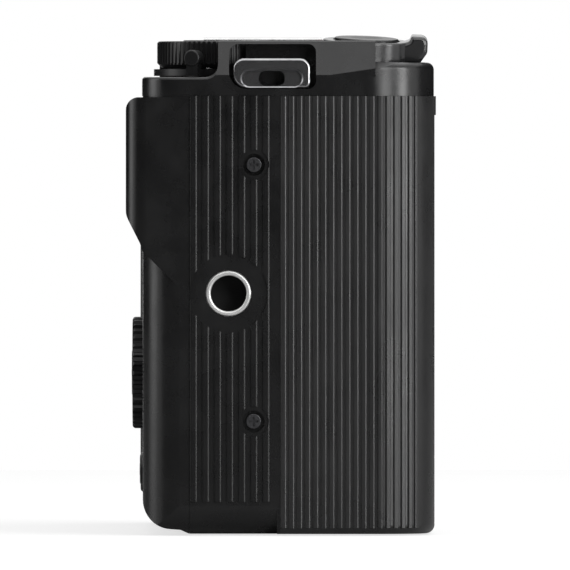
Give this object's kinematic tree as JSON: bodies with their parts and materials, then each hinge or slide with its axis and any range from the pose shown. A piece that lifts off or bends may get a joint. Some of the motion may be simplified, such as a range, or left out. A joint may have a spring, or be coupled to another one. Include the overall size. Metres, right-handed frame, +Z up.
{
  "type": "mirrorless camera",
  "caption": "Compact mirrorless camera body without a lens: ribbed grip, mode dial, zoom lever, swing-out monitor, accessory shoe and two tripod sockets.",
  "frame": {"origin": "centre of the base tripod socket at its mouth", "axes": "+Z up, -Y the way the lens looks, -X towards the grip end"},
  "size_m": [0.1193, 0.046, 0.0744],
  "materials": {
    "case_plastic": "fine matte black",
    "top_plastic": "fine satin black",
    "grip_rubber": "matte black rubber with ribs",
    "button_plastic": "satin black",
    "red_plastic": "satin red",
    "mount_steel": "satin steel",
    "steel": "satin steel",
    "black_steel": "black screws",
    "lug_metal": "dark polished metal",
    "black_metal": "black coated",
    "alloy": "cast",
    "gold": "plated contacts",
    "glass": "clear filter",
    "screen_glass": "gloss black glass",
    "sensor": "iridescent",
    "board": "green board",
    "battery_plastic": "grey",
    "lamp": "smoked red"
  },
  "bodies": {
    "camera_body": {"front_shell": "case_plastic", "rear_shell": "case_plastic", "top_cover": "top_plastic", "base_plate": "case_plastic", "side_plate": "case_plastic", "grip_cover": "grip_rubber", "base_pads": "grip_rubber", "case_screws": "black_steel", "lens_mount_ring": "mount_steel", "mount_screws": "mount_steel", "mount_baffle": "black_metal", "mount_contact_block": "black_metal", "mount_contact_pins": "gold", "tally_lamp": "lamp", "chassis_frame": "alloy", "shutter_frame": "black_metal", "sensor_frame": "alloy", "image_sensor": "sensor", "sensor_glass": "glass", "main_board": "board", "battery_box": "black_metal", "battery": "battery_plastic", "memory_card": "battery_plastic", "hinge_pins": "steel", "dial_spindle": "steel", "port_sockets": "black_metal", "shoe_rails": "steel", "shoe_contacts": "gold", "mic_grille": "black_metal", "strap_lugs": "lug_metal", "side_tripod_socket": "steel", "base_tripod_socket": "steel"},
    "cord_hole_cover": {"cord_hole_cover": "grip_rubber"},
    "lens_lock_pin": {"lens_lock_pin": "steel"},
    "lens_release_button": {"lens_release_button": "button_plastic"},
    "front_record_button": {"front_record_button": "button_plastic"},
    "shutter_blade_1": {"shutter_blade_1": "black_metal"},
    "shutter_blade_2": {"shutter_blade_2": "black_metal"},
    "shutter_blade_3": {"shutter_blade_3": "black_metal"},
    "battery_door": {"battery_door": "case_plastic"},
    "battery_latch": {"battery_latch": "button_plastic"},
    "mode_dial": {"mode_dial": "button_plastic"},
    "power_lever": {"power_lever": "button_plastic"},
    "zoom_lever": {"zoom_lever": "button_plastic"},
    "shutter_button": {"shutter_button": "button_plastic"},
    "record_button": {"record_button": "red_plastic"},
    "stream_button": {"stream_button": "button_plastic"},
    "function_button": {"function_button": "button_plastic"},
    "menu_button": {"menu_button": "button_plastic"},
    "playback_button": {"playback_button": "button_plastic"},
    "delete_button": {"delete_button": "button_plastic"},
    "rocker_gimbal": {"rocker_gimbal": "black_metal"},
    "rocker_plate": {"rocker_plate": "button_plastic"},
    "control_ring": {"control_ring": "button_plastic"},
    "set_button": {"set_button": "button_plastic"},
    "audio_port_cover": {"audio_port_cover": "case_plastic"},
    "data_port_cover": {"data_port_cover": "case_plastic"},
    "monitor": {"monitor_frame": "case_plastic", "monitor_glass": "screen_glass", "monitor_arm": "black_metal"}
  },
  "joints": [
    {"name": "shutter_press", "type": "slide", "parent": "camera_body", "child": "shutter_button", "axis": [0.0732, 0.04, -0.9965], "range_m": [0, 0.0008], "stiffness_N_per_m": 300},
    {"name": "zoom_turn", "type": "hinge", "parent": "camera_body", "child": "zoom_lever", "pos_m": [-0.0615, -0.0204, 0.0732], "axis": [-0.0732, -0.04, 0.9965], "range_deg": [-16, 16], "stiffness_Nm_per_rad": 0.02},
    {"name": "mode_dial_turn", "type": "hinge", "parent": "camera_body", "child": "mode_dial", "pos_m": [-0.0585, 0.0018, 0.071], "axis": [0, 0, 1], "continuous": true},
    {"name": "power_turn", "type": "hinge", "parent": "camera_body", "child": "power_lever", "pos_m": [-0.0585, 0.0018, 0.0684], "axis": [0, 0, -1], "range_deg": [0, 35]},
    {"name": "record_press", "type": "slide", "parent": "camera_body", "child": "record_button", "axis": [0, 0, -1], "range_m": [0, 0.0006], "stiffness_N_per_m": 300},
    {"name": "stream_press", "type": "slide", "parent": "camera_body", "child": "stream_button", "axis": [0, 0, -1], "range_m": [0, 0.0006], "stiffness_N_per_m": 300},
    {"name": "function_press", "type": "slide", "parent": "camera_body", "child": "function_button", "axis": [0, 0, -1], "range_m": [0, 0.0006], "stiffness_N_per_m": 300},
    {"name": "front_record_press", "type": "slide", "parent": "camera_body", "child": "front_record_button", "axis": [0, 1, 0], "range_m": [0, 0.0006], "stiffness_N_per_m": 300},
    {"name": "lens_release_press", "type": "slide", "parent": "camera_body", "child": "lens_release_button", "axis": [0, 1, 0], "range_m": [0, 0.0015], "stiffness_N_per_m": 300},
    {"name": "lock_pin_slide", "type": "slide", "parent": "camera_body", "child": "lens_lock_pin", "axis": [0, 1, 0], "range_m": [0, 0.0015]},
    {"name": "menu_press", "type": "slide", "parent": "camera_body", "child": "menu_button", "axis": [0, -1, 0], "range_m": [0, 0.0004], "stiffness_N_per_m": 300},
    {"name": "playback_press", "type": "slide", "parent": "camera_body", "child": "playback_button", "axis": [0, -1, 0], "range_m": [0, 0.0004], "stiffness_N_per_m": 300},
    {"name": "delete_press", "type": "slide", "parent": "camera_body", "child": "delete_button", "axis": [0, -1, 0], "range_m": [0, 0.0004], "stiffness_N_per_m": 300},
    {"name": "rocker_tilt_up_down", "type": "hinge", "parent": "camera_body", "child": "rocker_gimbal", "pos_m": [-0.0525, 0.0096, 0.02375], "axis": [1, 0, 0], "range_deg": [-1.5, 1.5], "stiffness_Nm_per_rad": 0.05},
    {"name": "rocker_tilt_sideways", "type": "hinge", "parent": "rocker_gimbal", "child": "rocker_plate", "pos_m": [-0.0525, 0.0096, 0.02375], "axis": [0, 0, 1], "range_deg": [-1.5, 1.5], "stiffness_Nm_per_rad": 0.05},
    {"name": "control_ring_turn", "type": "hinge", "parent": "rocker_plate", "child": "control_ring", "pos_m": [-0.0525, 0.013, 0.02375], "axis": [0, 1, 0], "continuous": true},
    {"name": "set_press", "type": "slide", "parent": "rocker_plate", "child": "set_button", "axis": [0, -1, 0], "range_m": [0, 0.0005], "stiffness_N_per_m": 300},
    {"name": "monitor_swing", "type": "hinge", "parent": "camera_body", "child": "monitor", "pos_m": [0.0444, 0.0109, 0.034], "axis": [0, 0, -1], "range_deg": [0, 176]},
    {"name": "battery_door_swing", "type": "hinge", "parent": "camera_body", "child": "battery_door", "pos_m": [-0.0376, -0.005, 0.00085], "axis": [0, -1, 0], "range_deg": [0, 100]},
    {"name": "battery_latch_slide", "type": "slide", "parent": "battery_door", "child": "battery_latch", "axis": [1, 0, 0], "range_m": [0, 0.0022]},
    {"name": "audio_cover_swing", "type": "hinge", "parent": "camera_body", "child": "audio_port_cover", "pos_m": [0.047, -0.0056, 0.0485], "axis": [0, 0, -1], "range_deg": [0, 100]},
    {"name": "data_cover_swing", "type": "hinge", "parent": "camera_body", "child": "data_port_cover", "pos_m": [0.047, -0.0056, 0.02175], "axis": [0, 0, -1], "range_deg": [0, 100]},
    {"name": "cord_cover_swing", "type": "hinge", "parent": "camera_body", "child": "cord_hole_cover", "pos_m": [-0.056, -0.0304, 0.0064], "axis": [0, 0, 1], "range_deg": [0, 80]},
    {"name": "first_blade_slide", "type": "slide", "parent": "camera_body", "child": "shutter_blade_1", "axis": [0, 0, 1], "range_m": [0, 0.027]},
    {"name": "second_blade_slide", "type": "slide", "parent": "camera_body", "child": "shutter_blade_2", "axis": [0, 0, 1], "range_m": [0, 0.018]},
    {"name": "third_blade_slide", "type": "slide", "parent": "camera_body", "child": "shutter_blade_3", "axis": [0, 0, 1], "range_m": [0, 0.009]}
  ],
  "couplings": [
    {"joint": "lock_pin_slide", "follows": "lens_release_press", "ratio": 1},
    {"joint": "second_blade_slide", "follows": "first_blade_slide", "ratio": 0.6666},
    {"joint": "third_blade_slide", "follows": "first_blade_slide", "ratio": 0.3333}
  ]
}
